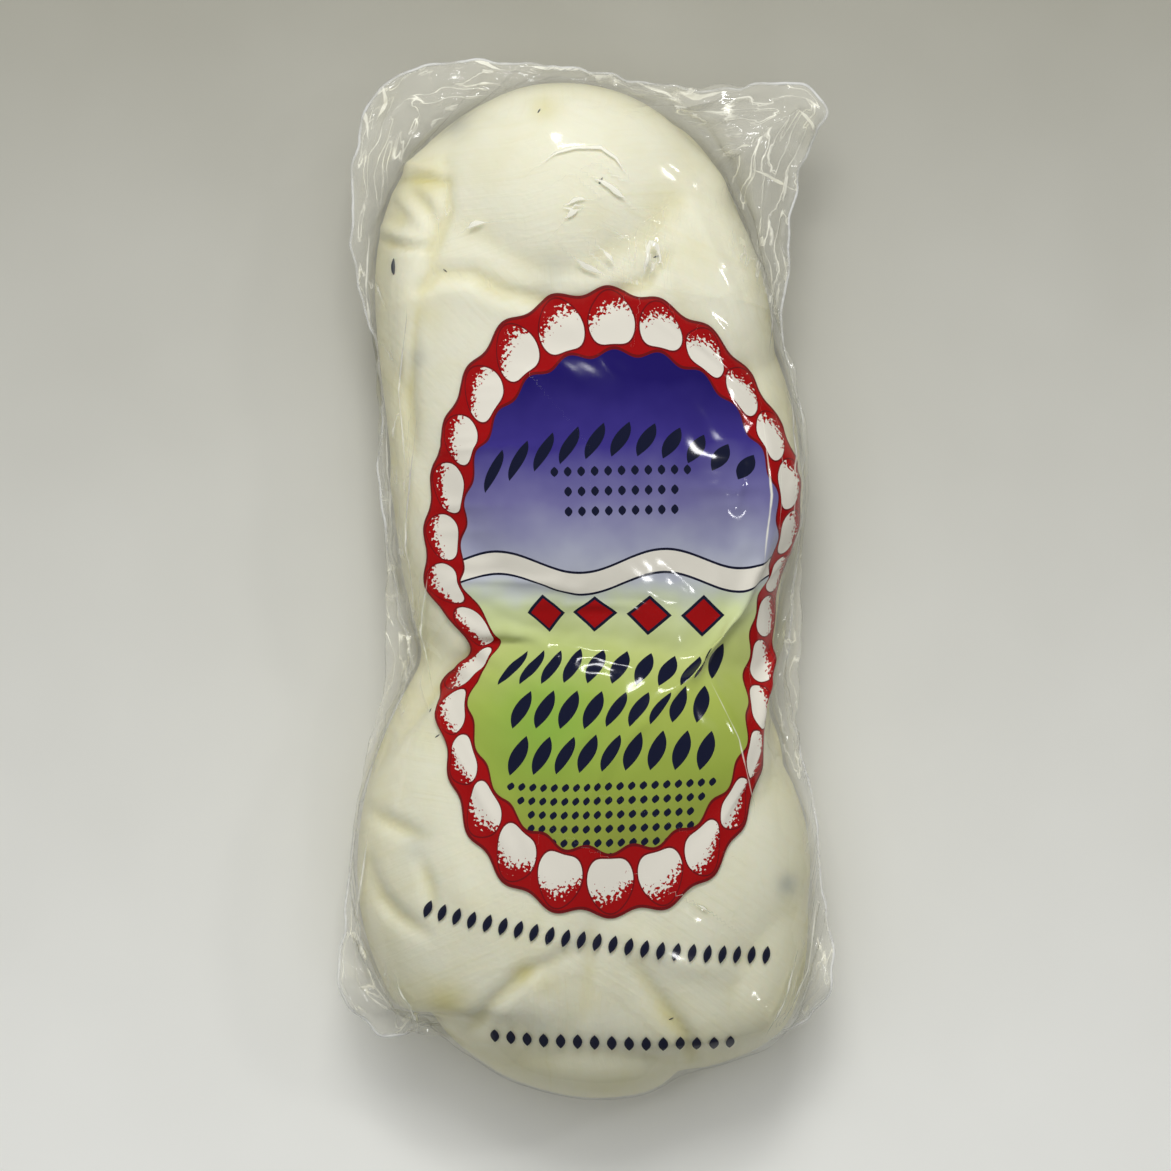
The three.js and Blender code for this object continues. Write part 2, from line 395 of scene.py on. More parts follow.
def paintBraid(mesh, places):
    # values that the cheese's finish reads; the crease value paints shade into the creases
    inwards = smoothedBy(mesh, places, cheeseBraid["creaseRounds"]) - places
    hollow = (inwards * readValues(mesh.vertex_normals, "vector", 3)).sum(axis=1)
    storeValues(mesh, "crease", np.clip(hollow / cheeseBraid["creaseDepth"], 0, 1))
    storeValues(mesh, "grain", grainOf(places), "FLOAT_VECTOR")
    for name in ("butter", "seedShade"):
        value = np.zeros(len(places))
        for x, y, radius, strength in cheeseBraid[name]:
            value = np.maximum(value, strength * np.exp(-distanceShare(places, x, y, radius) ** 2))
        storeValues(mesh, name, value)


def makeBraid():
    strands = [layStrand(name, *facts) for name, facts in cheeseBraid["strands"].items()]
    braid = joined("cheese_braid", strands)
    applyModifier(braid, "REMESH", mode="VOXEL", voxel_size=cheeseBraid["voxel"])
    applyModifier(braid, "SMOOTH", factor=0.5, iterations=cheeseBraid["smoothing"])
    places = vertexPlaces(braid.data)
    pressFolds(braid.data, places, cheeseBraid["folds"])
    places[:, 2] = np.maximum(places[:, 2], packLow.z + cheeseBraid["underside"])
    setVertexPlaces(braid.data, places)
    bpy.ops.object.shade_smooth()
    paintBraid(braid.data, places)
    return braid


braid = makeBraid()
print("cheese braid:", len(braid.data.polygons), "faces")

# The pouch: its edge clockwise from the middle of the top, as shares of half the width and length.
filmPouch = {
    "edge": [
        (-0.1, 0.985), (0.2, 0.96), (0.5, 0.94), (0.78, 0.955), (0.93, 0.935), (0.96, 0.885), (0.88, 0.82),
        (0.82, 0.66), (0.79, 0.47), (0.87, 0.3), (0.86, 0.12), (0.82, -0.08), (0.8, -0.22), (0.91, -0.42),
        (0.95, -0.6), (1, -0.73), (0.92, -0.83), (0.8, -0.865), (0.68, -0.855), (0.48, -0.88),
        (0.26, -0.925), (-0.08, -0.92), (-0.34, -0.875), (-0.52, -0.85), (-0.66, -0.853), (-0.755, -0.88),
        (-0.88, -0.845), (-0.985, -0.775), (-0.96, -0.62), (-0.89, -0.42), (-0.77, -0.29), (-0.7, -0.17),
        (-0.72, -0.09), (-0.78, 0.05), (-0.82, 0.22), (-0.8, 0.4), (-0.9, 0.55), (-0.94, 0.7), (-0.9, 0.86),
        (-0.76, 0.97), (-0.42, 1),
    ],
    "edgeSteps": 12,  # between two points of the edge
    "corners": [(-0.86, 0.93), (0.96, 0.9), (0.97, -0.78), (-0.96, -0.8)],
    # flat width and length, how much longer down the middle, and how much wider below
    "frontFlat": (110 * millimetre, 220 * millimetre, 26 * millimetre, 9 * millimetre),
    "backFlat": (109 * millimetre, 210 * millimetre, 0, 8 * millimetre),
    # where the flat sheet begins to grow wider and to bulge below, up from its middle, and over how much
    "widens": (0.05, 0.2),
    "bulges": (-0.12, 0.38),
    "uvSpan": 260 * millimetre,
    "frontGrid": (80, 168),
    "backGrid": (54, 104),
    "simScale": 10,  # the cloth is solved ten times as large, where its limits on thickness don't matter
    "startAbove": 26 * millimetre,
    "startBelow": 22 * millimetre,
    "lowered": (1, 14),  # first and last frame
    "drawnIn": (10, 28),
    "settled": 42,
    "pressure": [(-1, 1), (-2, 12), (-10, 24), (-40, 34)],  # and from which frame
    "cloth": {"quality": 10, "mass": 0.15, "tension_stiffness": 15, "compression_stiffness": 15,
              "shear_stiffness": 6, "bending_stiffness": 0.2, "tension_damping": 5, "compression_damping": 5,
              "shear_damping": 5, "bending_damping": 0.5, "air_damping": 5, "vertex_group_mass": "pinned",
              "vertex_group_shrink": "slack", "shrink_min": 0.0, "shrink_max": 0.14, "use_pressure": True},
    "touch": {"distance_min": 0.003, "collision_quality": 3, "use_self_collision": False},
    "obstacle": {"thickness_outer": 0.002, "thickness_inner": 0.12, "cloth_friction": 3, "use_culling": True},
    "slackBand": 26 * millimetre,  # the film shrinks most at its sides, above slackFrom
    "slackFrom": -30 * millimetre,
    "coreShare": 0.14,  # of the braid's faces, for the sheets to land on
    "plateCells": 110,
    "plateReach": 1.45,  # times the pack's width and length
    "sheetGap": 0.2 * millimetre,
    # the bottom seal dips under the tip: the middle, half width and fade of the dip across the pack, from how
    # far down and over how much it sets in, and how low it goes
    "dipAcross": (0.08, 0.42, 0.26),
    "dipAlong": (0.76, 0.08),
    "underTip": 3 * millimetre,
    "dipped": 2 * millimetre,  # where it dips by more than this, it is held up to so much below the cheese
    "heldUp": 0.5 * millimetre,
    "smoothing": 3,
    "offCheese": 0.15 * millimetre,
}


def roundedEdge():
    # the pouch's edge as a dense closed line, in metres, and how far along it each point is
    corners = [spotAt(x, y) for x, y in filmPouch["edge"]]
    steps = filmPouch["edgeSteps"]
    dense = []
    for i in range(len(corners)):
        before, start, end, after = (corners[(i + k) % len(corners)] for k in (-1, 0, 1, 2))
        for k in range(steps):
            t = k / steps
            dense.append(0.5 * (2 * start + (end - before) * t
                                + (2 * before - 5 * start + 4 * end - after) * t ** 2
                                + (3 * start - before - 3 * end + after) * t ** 3))
    dense.append(dense[0])
    dense = np.array(dense)
    along = np.concatenate([[0], np.cumsum(np.linalg.norm(np.diff(dense, axis=0), axis=1))])
    return dense, along


def flatSheet(grid, flatSize):
    # a flat grid that grows wider below and whose lower edge may bulge, as film that has to reach round the
    # tip; and each point's side: 0 top, 1 right, 2 bottom, 3 left, -1 inside
    width, length, longer, wider = flatSize
    sheet = addMesh("grid", x_subdivisions=grid[0], y_subdivisions=grid[1], size=1, calc_uvs=True)
    flat = vertexPlaces(sheet.data)
    x, y = flat[:, 0], flat[:, 1]
    rim = 0.4999  # of a grid that is 1 wide and high
    side = np.select([y > rim, x > rim, y < -rim, x < -rim], [0, 1, 2, 3], -1)
    bulge, broad = (eased((start - y) / span) for start, span in (filmPouch["bulges"], filmPouch["widens"]))
    flat[:, 1] = y * length - longer * (1 - (2 * x) ** 2) * bulge
    flat[:, 0] = x * (width + wider * broad)
    corners = readValues(sheet.data.loops, "vertex_index", 1, np.int32)
    sheet.data.uv_layers[0].data.foreach_set("uv", (flat[corners, :2] / filmPouch["uvSpan"] + 0.5).ravel())
    return sheet, flat, side


def edgeTargets(flat, side, flatSize):
    # where the rim of a flat sheet goes on the pouch's edge, corner to corner
    dense, along = roundedEdge()
    corners = [along[np.argmin(np.linalg.norm(dense - spotAt(x, y), axis=1))]
               for x, y in filmPouch["corners"]]
    halfX, topX, halfY = np.abs(flat[:, 0]).max(), flatSize[0] / 2, flatSize[1] / 2
    rim = np.flatnonzero(side >= 0)
    targets = []
    for i in rim:
        x, y = flat[i, :2]
        share = [(x + topX) / (2 * topX), (halfY - y) / (2 * halfY),
                 (halfX - x) / (2 * halfX), (y + halfY) / (2 * halfY)][side[i]]
        start, end = corners[side[i]], corners[(side[i] + 1) % 4]
        if end < start:
            end += along[-1]
        targets.append(start + (end - start) * share)
    targets = np.mod(targets, along[-1])
    return rim, np.column_stack([np.interp(targets, along, dense[:, k]) for k in (0, 1)])


def marginAt(x, y):
    # the margin is at mid height, but the bottom seal dips under the tip of the cheese
    middle, halfDip, fade = filmPouch["dipAcross"]
    fromDown, span = filmPouch["dipAlong"]
    across = eased((np.abs((x - packMiddle.x) / halfWidth - middle) - halfDip) / fade)
    dip = (1 - across) * eased(((packMiddle.y - y) / halfLength - fromDown) / span)
    return marginHeight + (packLow.z + filmPouch["underTip"] - marginHeight) * dip


def sealHeights(targets):
    # and where it dips, the seal is held up against the cheese's underside
    heights = marginAt(targets[:, 0], targets[:, 1])
    beneath = packLow.z - 10 * millimetre
    for i, (x, y) in enumerate(targets):
        hit, spot, normal, face = braid.ray_cast(Vector((x, y, beneath)), Vector((0, 0, 1)))
        if hit and heights[i] < marginHeight - filmPouch["dipped"]:
            heights[i] = max(packLow.z + cheeseBraid["underside"], spot.z - filmPouch["heldUp"])
    return heights


def laySheet(name, grid, flatSize, above, obstacles):
    # a flat sheet over or under the braid, whose rim is lowered to the seal and then drawn in
    scale = filmPouch["simScale"]
    sheet, flat, side = flatSheet(grid, flatSize)
    sheet.name = name
    rim, targets = edgeTargets(flat, side, flatSize)
    heights = sealHeights(targets)
    flat[:, 2] = marginHeight + (filmPouch["startAbove"] if above else -filmPouch["startBelow"])
    setVertexPlaces(sheet.data, flat * scale)
    if not above:
        sheet.data.flip_normals()

    pinned = sheet.vertex_groups.new(name="pinned")
    pinned.add([int(i) for i in rim], 1.0, "REPLACE")
    slack = sheet.vertex_groups.new(name="slack")
    for i, (x, y, z) in enumerate(flat):
        weight = max(0.0, 1 - (flatSize[0] / 2 - abs(x)) / filmPouch["slackBand"])
        if weight and y > filmPouch["slackFrom"]:
            slack.add([i], weight, "REPLACE")

    lift = filmPouch["sheetGap"] / 2 if above else -filmPouch["sheetGap"] / 2
    lowered = flat.copy()
    lowered[rim, 2] = (marginAt(flat[rim, 0], flat[rim, 1]) if above else heights) + lift
    drawnIn = flat.copy()
    drawnIn[rim, :2] = targets
    drawnIn[rim, 2] += heights + lift - lowered[rim, 2]
    sheet.shape_key_add(name="flat")
    for keyName, shape in (("lowered", lowered), ("drawnIn", drawnIn)):
        key = sheet.shape_key_add(name=keyName)
        key.data.foreach_set("co", (shape * scale).ravel())
        for value, frameNumber in enumerate(filmPouch[keyName]):
            key.value = value
            key.keyframe_insert("value", frame=frameNumber)

    cloth = addModifier(sheet, "CLOTH")
    setAll(cloth.settings, filmPouch["cloth"])
    cloth.settings.effector_weights.gravity = 0
    for force, frameNumber in filmPouch["pressure"]:
        cloth.settings.uniform_pressure_force = force
        cloth.settings.keyframe_insert("uniform_pressure_force", frame=frameNumber)
    setAll(cloth.collision_settings, {**filmPouch["touch"], "collection": obstacles})
    setAll(cloth.point_cache, {"frame_start": 1, "frame_end": filmPouch["settled"]})
    return sheet


def layPlate(dips):
    # stands for the other sheet where the two meet
    cells, reach = filmPouch["plateCells"], 2 * filmPouch["plateReach"]
    plate = addMesh("grid", x_subdivisions=cells, y_subdivisions=cells, size=1)
    places = vertexPlaces(plate.data) * (reach * halfWidth, reach * halfLength, 0)
    places[:, 2] = marginAt(places[:, 0], places[:, 1]) if dips else marginHeight
    setVertexPlaces(plate.data, places * filmPouch["simScale"])
    return plate


def sealFilm():
    # vacuum: both sheets are drawn over the braid and onto each other
    scale = filmPouch["simScale"]
    selectOnly(braid)
    bpy.ops.object.duplicate()
    core = bpy.context.object
    bpy.ops.transform.resize(value=(scale, scale, scale), center_override=(0, 0, 0))
    bpy.ops.object.transform_apply()
    applyModifier(core, "DECIMATE", ratio=filmPouch["coreShare"])

    plates = [layPlate(True), layPlate(False)]
    for obstacle in (core, *plates):
        selectOnly(obstacle)
        bpy.ops.object.modifier_add(type="COLLISION")
        setAll(obstacle.collision, filmPouch["obstacle"])
    sheets, groups = [], []
    for plate, side, above in ((plates[0], "front", True), (plates[1], "back", False)):
        group = bpy.data.collections.new("obstacles")
        group.objects.link(core)
        group.objects.link(plate)
        groups.append(group)
        grid, flatSize = filmPouch[side + "Grid"], filmPouch[side + "Flat"]
        sheets.append(laySheet("film_" + side, grid, flatSize, above, group))

    scene = bpy.context.scene
    scene.frame_start = 1
    scene.frame_end = filmPouch["settled"]
    braid.hide_viewport = True
    for frameNumber in range(1, filmPouch["settled"] + 1):
        scene.frame_set(frameNumber)
    graph = bpy.context.evaluated_depsgraph_get()
    films = []
    for sheet in sheets:
        name = sheet.name
        shape = bpy.data.meshes.new_from_object(sheet.evaluated_get(graph))
        sheet.name = name + "_loose"
        film = bpy.data.objects.new(name, shape)
        bpy.context.collection.objects.link(film)
        setVertexPlaces(shape, vertexPlaces(shape) / scale)
        films.append(film)
    for helper in (*sheets, core, *plates):
        bpy.data.objects.remove(helper)
    for group in groups:
        bpy.data.collections.remove(group)
    scene.frame_set(1)
    braid.hide_viewport = False
    return films


filmFront, filmBack = sealFilm()
for film in (filmFront, filmBack):
    applyModifier(film, "SMOOTH", factor=0.5, iterations=filmPouch["smoothing"])
    applyModifier(film, "SUBSURF", levels=1, render_levels=1)
    applyModifier(film, "SHRINKWRAP", target=braid, wrap_method="NEAREST_SURFACEPOINT", wrap_mode="OUTSIDE",
                  offset=filmPouch["offCheese"])
    bpy.ops.object.shade_smooth()

# How the slack film is crumpled: waves and ridges over the margins, lifted corners and small air bubbles.
filmCrumple = {
    "start": 0.6 * millimetre,  # from the cheese to where the crumpling begins and is full
    "full": 4 * millimetre,
    "flangeFrom": 0.5 * millimetre,  # and to where the film counts as part of the margin
    "looseFrom": 1 * millimetre,  # and to where it gets the crumpled finish
    "leastShare": 0.01,  # of crumpling
    "lowest": 0.1 * millimetre,  # above the table
    "domePower": 1.5,  # of the lifts and bubbles
    "noFold": 99,  # mm from a fold, where there is none
    "waves": [(15, 5, 1.0), (6, 2.4, 0.55)],  # size along and across the flange, and height, in mm
    "ridge": (11, 3.6, 1.1),
    "ridgeLevel": 0.25,  # of the ridges' noise, where they neither rise nor sink
    "jitter": (5, 1.0),  # of the outline, size and reach in mm
    "seed": 1,  # of the jitter, which differs in every run without one
    # x and y in shares, radius and height in mm
    "lifts": [
        (0.94, 0.9, 8, 5), (0.8, 0.97, 6, 2), (-0.97, -0.79, 7, 2.5), (0.98, -0.77, 8, 4),
        (-0.88, 0.95, 8, 2),
    ],
    # the same, in the front film only
    "bubbles": [
        (0.79, 0.665, 1.7, 0.9), (0.775, 0.555, 1.5, 0.8), (0.77, 0.465, 2.4, 1), (0.775, 0.43, 1.6, 0.7),
        (-0.74, 0.43, 1.6, 0.8), (-0.75, 0.36, 1.8, 0.8), (-0.7, -0.13, 1.8, 0.8), (0.84, -0.3, 1.8, 0.8),
        (-0.7, -0.8, 2, 1), (0.74, -0.82, 2.2, 1),
    ],
    # where the film wrinkles though it lies on the cheese: x and y in shares, radius and looseness in mm
    "wrinkled": [
        (0.63, 0.74, 6, 3), (0.69, 0.64, 7, 4), (0.72, 0.54, 7, 4), (0.77, 0.43, 6, 4),
        (0.82, 0.32, 5, 3.5), (0.84, 0.2, 4.5, 3), (-0.85, 0.54, 5, 3.5), (-0.83, 0.42, 5, 3.5),
        (-0.8, 0.3, 5, 4), (-0.78, 0.18, 5, 4), (-0.76, 0.06, 5, 4), (-0.74, -0.06, 5, 4),
        (-0.76, -0.18, 4.5, 3), (-0.72, -0.78, 7, 3), (0.76, -0.8, 7, 3), (0.86, -0.5, 4, 2.5),
    ],
    # little folds in the film: a line in shares, half its width and its height in mm, and half the width in
    # mm of the painted highlight, a white line painted on its crest
    "folds": [
        ([(-0.16, 0.785), (-0.12, 0.8), (-0.04, 0.812), (0.06, 0.812), (0.12, 0.793),
         (0.145, 0.775)], 1.8, 0.25, 0.55),
        ([(0.048, 0.752), (0.095, 0.74), (0.145, 0.72)], 1.6, 0.3, 0.65),
        ([(-0.06, 0.708), (-0.03, 0.715), (0, 0.715)], 1.5, 0.3, 0.6),
        ([(-0.07, 0.68), (-0.05, 0.69), (-0.03, 0.694)], 1.5, 0.3, 0.65),
        ([(-0.455, 0.664), (-0.43, 0.672), (-0.395, 0.674)], 1.5, 0.3, 0.65),
        ([(-0.04, 0.606), (0, 0.592), (0.06, 0.578)], 1.8, 0.4, 0.55),
        ([(0.076, 0.617), (0.094, 0.608), (0.108, 0.598)], 1.5, 0.4, 0.75),
        ([(0.23, 0.587), (0.24, 0.622), (0.257, 0.642)], 1.5, 0.5, 0.6),
        ([(0.257, 0.642), (0.28, 0.63), (0.294, 0.6)], 1.5, 0.5, 0.6),
        ([(0.1, 0.655), (0.17, 0.67), (0.24, 0.66)], 1.6, 0.3, 0),
        ([(-0.44, 0.994), (-0.39, 0.992), (-0.34, 0.984)], 1.2, 0.3, 0.6),
        ([(-0.22, 0.985), (-0.1, 0.982), (0.06, 0.972)], 1.2, 0.3, 0.6),
        ([(0.22, 0.955), (0.28, 0.94), (0.344, 0.921)], 1.2, 0.3, 0.5),
        ([(0.38, 0.935), (0.46, 0.928), (0.56, 0.936)], 1.2, 0.3, 0.6),
        ([(-0.875, 0.905), (-0.868, 0.88), (-0.872, 0.854)], 1.2, 0.3, 0.5),
        ([(-0.82, 0.955), (-0.8, 0.92), (-0.84, 0.88)], 1.2, 0.3, 0.4),
        ([(0.6, 0.827), (0.63, 0.838), (0.66, 0.837)], 1.2, 0.3, 0.5),
        ([(0.68, 0.788), (0.76, 0.765), (0.84, 0.746)], 1.2, 0.3, 0.45),
        ([(0.84, 0.9), (0.9, 0.87), (0.93, 0.84)], 1.3, 0.5, 0.45),
        ([(0.3, 0.8), (0.5, 0.72), (0.6, 0.6)], 1.6, 0.35, 0),
        ([(0.2, 0.84), (0.4, 0.78), (0.56, 0.68)], 1.6, 0.35, 0),
        ([(-0.7, 0.5), (-0.73, 0.36), (-0.7, 0.2)], 1.6, 0.6, 0.25),
        ([(-0.66, 0.3), (-0.7, 0.1), (-0.66, -0.1)], 1.6, 0.6, 0.2),
        ([(-0.62, -0.06), (-0.4, -0.1), (-0.2, -0.1)], 1.7, 0.6, 0),
        ([(-0.62, -0.2), (-0.44, -0.13), (-0.24, -0.16)], 1.7, 0.6, 0),
        ([(-0.62, 0), (-0.64, -0.1), (-0.6, -0.2)], 1.4, 0.5, 0.3),
        ([(0.44, -0.61), (0.46, -0.615), (0.48, -0.622)], 1.5, 0.4, 0.7),
        ([(0.7, 0.3), (0.73, 0.16), (0.7, 0.02)], 1.6, 0.5, 0.25),
        ([(0.5, -0.2), (0.6, -0.3), (0.66, -0.42)], 1.7, 0.4, 0.2),
        ([(0.72, 0.66), (0.74, 0.56), (0.73, 0.44)], 1.3, 0.5, 0.35),
        ([(0.78, 0.68), (0.8, 0.52), (0.78, 0.4)], 1.2, 0.4, 0.3),
        ([(0.8, 0.36), (0.83, 0.24), (0.82, 0.1)], 1.2, 0.4, 0.3),
        ([(0.79, -0.1), (0.82, -0.24), (0.88, -0.4)], 1.2, 0.4, 0.3),
        ([(-0.86, 0.66), (-0.87, 0.54), (-0.83, 0.42)], 1.2, 0.4, 0.35),
        ([(-0.84, 0.36), (-0.82, 0.22), (-0.8, 0.06)], 1.2, 0.4, 0.35),
        ([(-0.79, 0.3), (-0.77, 0.16), (-0.76, 0)], 1.2, 0.4, 0.3),
        ([(-0.86, -0.5), (-0.9, -0.64), (-0.86, -0.76)], 1.3, 0.5, 0.35),
        ([(-0.92, -0.66), (-0.84, -0.78), (-0.7, -0.86)], 1.3, 0.5, 0.35),
        ([(-0.74, -0.76), (-0.69, -0.8), (-0.66, -0.87)], 1.3, 0.6, 0.4),
        ([(0.92, -0.62), (0.88, -0.74), (0.78, -0.84)], 1.3, 0.5, 0.35),
        ([(0.84, -0.7), (0.78, -0.8), (0.72, -0.86)], 1.3, 0.5, 0.3),
    ],
}


def crumpleFilm(film, above):
    mesh = film.data
    places = vertexPlaces(mesh)
    # how far each point is from the nearest painted highlight, and half its width there, in millimetres
    folds = np.zeros((len(places), 3))
    folds[:, 0] = filmCrumple["noFold"]
    if above:
        for line, width, height, paintedHighlight in filmCrumple["folds"]:
            across, fullness = alongFold(places, line)
            closer = (np.abs(across) / millimetre < np.abs(folds[:, 0])) & (paintedHighlight > 0)
            folds[closer, 0] = across[closer] / millimetre
            folds[closer, 1] = paintedHighlight * fullness[closer]
        pressFolds(mesh, places, filmCrumple["folds"])
    storeValues(mesh, "fold", folds, "FLOAT_VECTOR")
    gaps = np.array([(braid.closest_point_on_mesh(Vector(p))[1] - Vector(p)).length for p in places])
    flat = places[:, :2].copy()
    for x, y, radius, looseness in filmCrumple["wrinkled"] if above else []:
        dome = np.clip(1 - distanceShare(flat, x, y, radius) ** 2, 0, 1)
        gaps = np.maximum(gaps, looseness * millimetre * dome)
    share = eased((gaps - filmCrumple["start"]) / (filmCrumple["full"] - filmCrumple["start"]))
    # each slack point's place round the rim, on a ring, and its distance from the rim, in millimetres
    rim, along = roundedEdge()
    slack = np.flatnonzero(gaps > filmCrumple["flangeFrom"])
    nearest = np.array([np.argmin(((rim - spot) ** 2).sum(axis=1)) for spot in flat[slack]])
    turn = 2 * np.pi * along / along[-1]
    ring = np.column_stack((np.cos(turn), np.sin(turn))) * along[-1] / (2 * np.pi)
    flange = np.zeros((len(places), 3))
    flange[slack, :2] = ring[nearest] / millimetre
    flange[slack, 2] = np.linalg.norm(flat[slack] - rim[nearest], axis=1) / millimetre
    ridgeAlong, ridgeAcross, ridgeHeight = filmCrumple["ridge"]
    jitterSize, jitterReach = filmCrumple["jitter"]
    for i in np.flatnonzero(share > filmCrumple["leastShare"]):
        ringX, ringY, inwards = flange[i]
        rise = sum(height * noise.noise(Vector((ringX / size, ringY / size, inwards / across)))
                   for size, across, height in filmCrumple["waves"])
        ridge = noise.noise(Vector((ringX / ridgeAlong, ringY / ridgeAlong, inwards / ridgeAcross)))
        rise += ridgeHeight * (filmCrumple["ridgeLevel"] - abs(ridge))
        places[i, 2] += share[i] * rise * millimetre
        spot = Vector((*flat[i], 0)) / (jitterSize * millimetre)
        places[i, :2] += np.array(noise.noise_vector(spot))[:2] * share[i] * jitterReach * millimetre
    for x, y, radius, height in filmCrumple["lifts"] + (filmCrumple["bubbles"] if above else []):
        dome = np.clip(1 - distanceShare(flat, x, y, radius) ** 2, 0, 1)
        places[:, 2] += height * millimetre * dome ** filmCrumple["domePower"]
    places[:, 2] = np.maximum(places[:, 2], packLow.z + filmCrumple["lowest"])
    setVertexPlaces(mesh, places)
    storeValues(mesh, "looseness", gaps)
    storeValues(mesh, "flange", flange, "FLOAT_VECTOR")


noise.seed_set(filmCrumple["seed"])
crumpleFilm(filmFront, True)
crumpleFilm(filmBack, False)
print("film:", len(filmFront.data.polygons), "faces in front,", len(filmBack.data.polygons), "behind")

# Pulled-curd cheese, a braid of white strings pressed together under vacuum: a soft cream with a damp sheen,
# light that sinks in a little, faint butter-yellow patches and fine fibres along the strings. The creases and
# the lower sides are painted yellower and darker as painted shade, the creases partly butter-yellow curd too.
curdLook = {
    "cream": "F3F1DA",
    "butter": "DED592",
    "seedShade": "9AA2A6",
    "mottleSize": 11,  # mm
    "grainSize": 1.6,
    "fibreAcross": 0.9,  # mm, drawn coarser than the real fibres so that they show
    "fibreAlong": 26,
    # how much butter-yellow each brings, and between which values of its noise
    "mottle": (0.45, 0.75, 0.0, 0.18),
    "fibres": (0.5, 0.75, 0.0, 0.1),
    "paintedCreaseShade": 0.3,
    "paintedSideShade": 0.65,
    "sideShadeHeights": (33 * millimetre, 14 * millimetre),  # painted shade: from this height down to that one the sides are painted darker and yellower
    "fibreRelief": 0.8,  # beside the grain
    "relief": {"Strength": 0.35, "Distance": 0.25 * millimetre},
    "surface": {"Roughness": 0.46, "Specular IOR Level": 0.4, "Subsurface Weight": 0.2,
                "Subsurface Radius": (1.0, 0.75, 0.5), "Subsurface Scale": 1.6 * millimetre},
}


def curdMaterial():
    look = curdLook
    material, add, spot = newMaterial("pulled_curd_cheese")
    grain, crease, butter, shade = (add("Attribute", attribute_name=name)
                                    for name in ("grain", "crease", "butter", "seedShade"))
    stretch = (1 / look["fibreAcross"], 1 / look["fibreAlong"], 1)
    stretched = add("VectorMath", (grain.outputs["Vector"], stretch), operation="MULTIPLY")
    fibres = add("TexNoise", {"Vector": stretched, "Scale": 1, "Detail": 2, "Roughness": 0.6})
    mottle = add("TexNoise", {"Vector": spot, "Scale": perMetre / look["mottleSize"], "Detail": 2})
    fine = add("TexNoise", {"Vector": spot, "Scale": perMetre / look["grainSize"], "Detail": 1})
    mottled = add("MapRange", (mottle, *look["mottle"]))
    threads = add("MapRange", (fibres, *look["fibres"]))
    height = add("SeparateXYZ", (spot,)).outputs[2]
    # painted shade on the lower sides, which turn away from the light
    sideShade = add("MapRange", (height, *look["sideShadeHeights"], 0.0, look["paintedSideShade"]))
    yellowedAndShaded = add("+", (mottled, sideShade))
    # painted shade: the creases are painted yellower and darker, partly butter-yellow curd
    yellowedAndShaded = add("*+", (crease.outputs["Fac"], look["paintedCreaseShade"], yellowedAndShaded))
    yellowedAndShaded = add("+", (yellowedAndShaded, threads))
    yellowedAndShaded = add("+", (yellowedAndShaded, butter.outputs["Fac"]), use_clamp=True)
    tone = add("Mix", {0: yellowedAndShaded, 6: look["cream"], 7: look["butter"]}, data_type="RGBA")
    tone = add("Mix", {0: shade.outputs["Fac"], 6: tone.outputs[2], 7: look["seedShade"]}, data_type="RGBA")
    relief = add("*+", (fibres, look["fibreRelief"], fine))
    bump = add("Bump", {**look["relief"], "Height": relief})
    surface = add("BsdfPrincipled", {**look["surface"], "Base Color": tone.outputs[2], "Normal": bump})
    add("OutputMaterial", (surface,))
    return material


# Clear nylon and polyethylene vacuum film, blown and heat-sealed: almost colourless, glossy, with a faint
# haze, and crinkled wherever it doesn't lie tight on the cheese. The white lines on fold crests and creases
# are painted highlights, those on the creases partly the whitening of creased film.
filmLook = {
    "haze": "FAF8E8",
    "hazeTight": 0.035,
    "hazeSlack": 0.17,
    "hazed": (0.4 * millimetre, 4 * millimetre),  # how loose the film is where it begins and where it is full
    "creaseWidth": 0.022,
    "creaseAlong": 13,  # mm
    "creaseAcross": 2.6,
    "paintedCreaseHighlight": 0.9,
    "ridgeLevel": 0.5,  # of the waves' noise, where the creases run
    "creased": (1 * millimetre, 2.8 * millimetre),
    "patchSize": 6.25,  # mm, of the places with many and with few creases
    "patchy": (0.4, 0.6, 0.25, 1.0),  # between which values of the noise, and how much is left of the creases
    "crinkle": 0.7,
    "crinkled": (0.8 * millimetre, 3 * millimetre),
    "crinkleDepth": 2 * millimetre,
    "gloss": 0.1,
    "mirrorShare": 0.06,  # face on
    "mirrorSlanted": 0.8,  # and how much more on edge
    "mirrorPower": 4,  # how late it sets in as the film turns
    # painted highlight: how white the lines on the fold crests are painted
    "paintedHighlight": 0.95,
    "paintedHighlightSize": 5,  # mm, over which a painted highlight grows wider and narrower
    "paintedHighlightWidths": (0.35, 0.65, 0.6, 1.35),  # between which values of the noise, and how wide
    "paintedHighlightEdge": 0.25,  # mm
}


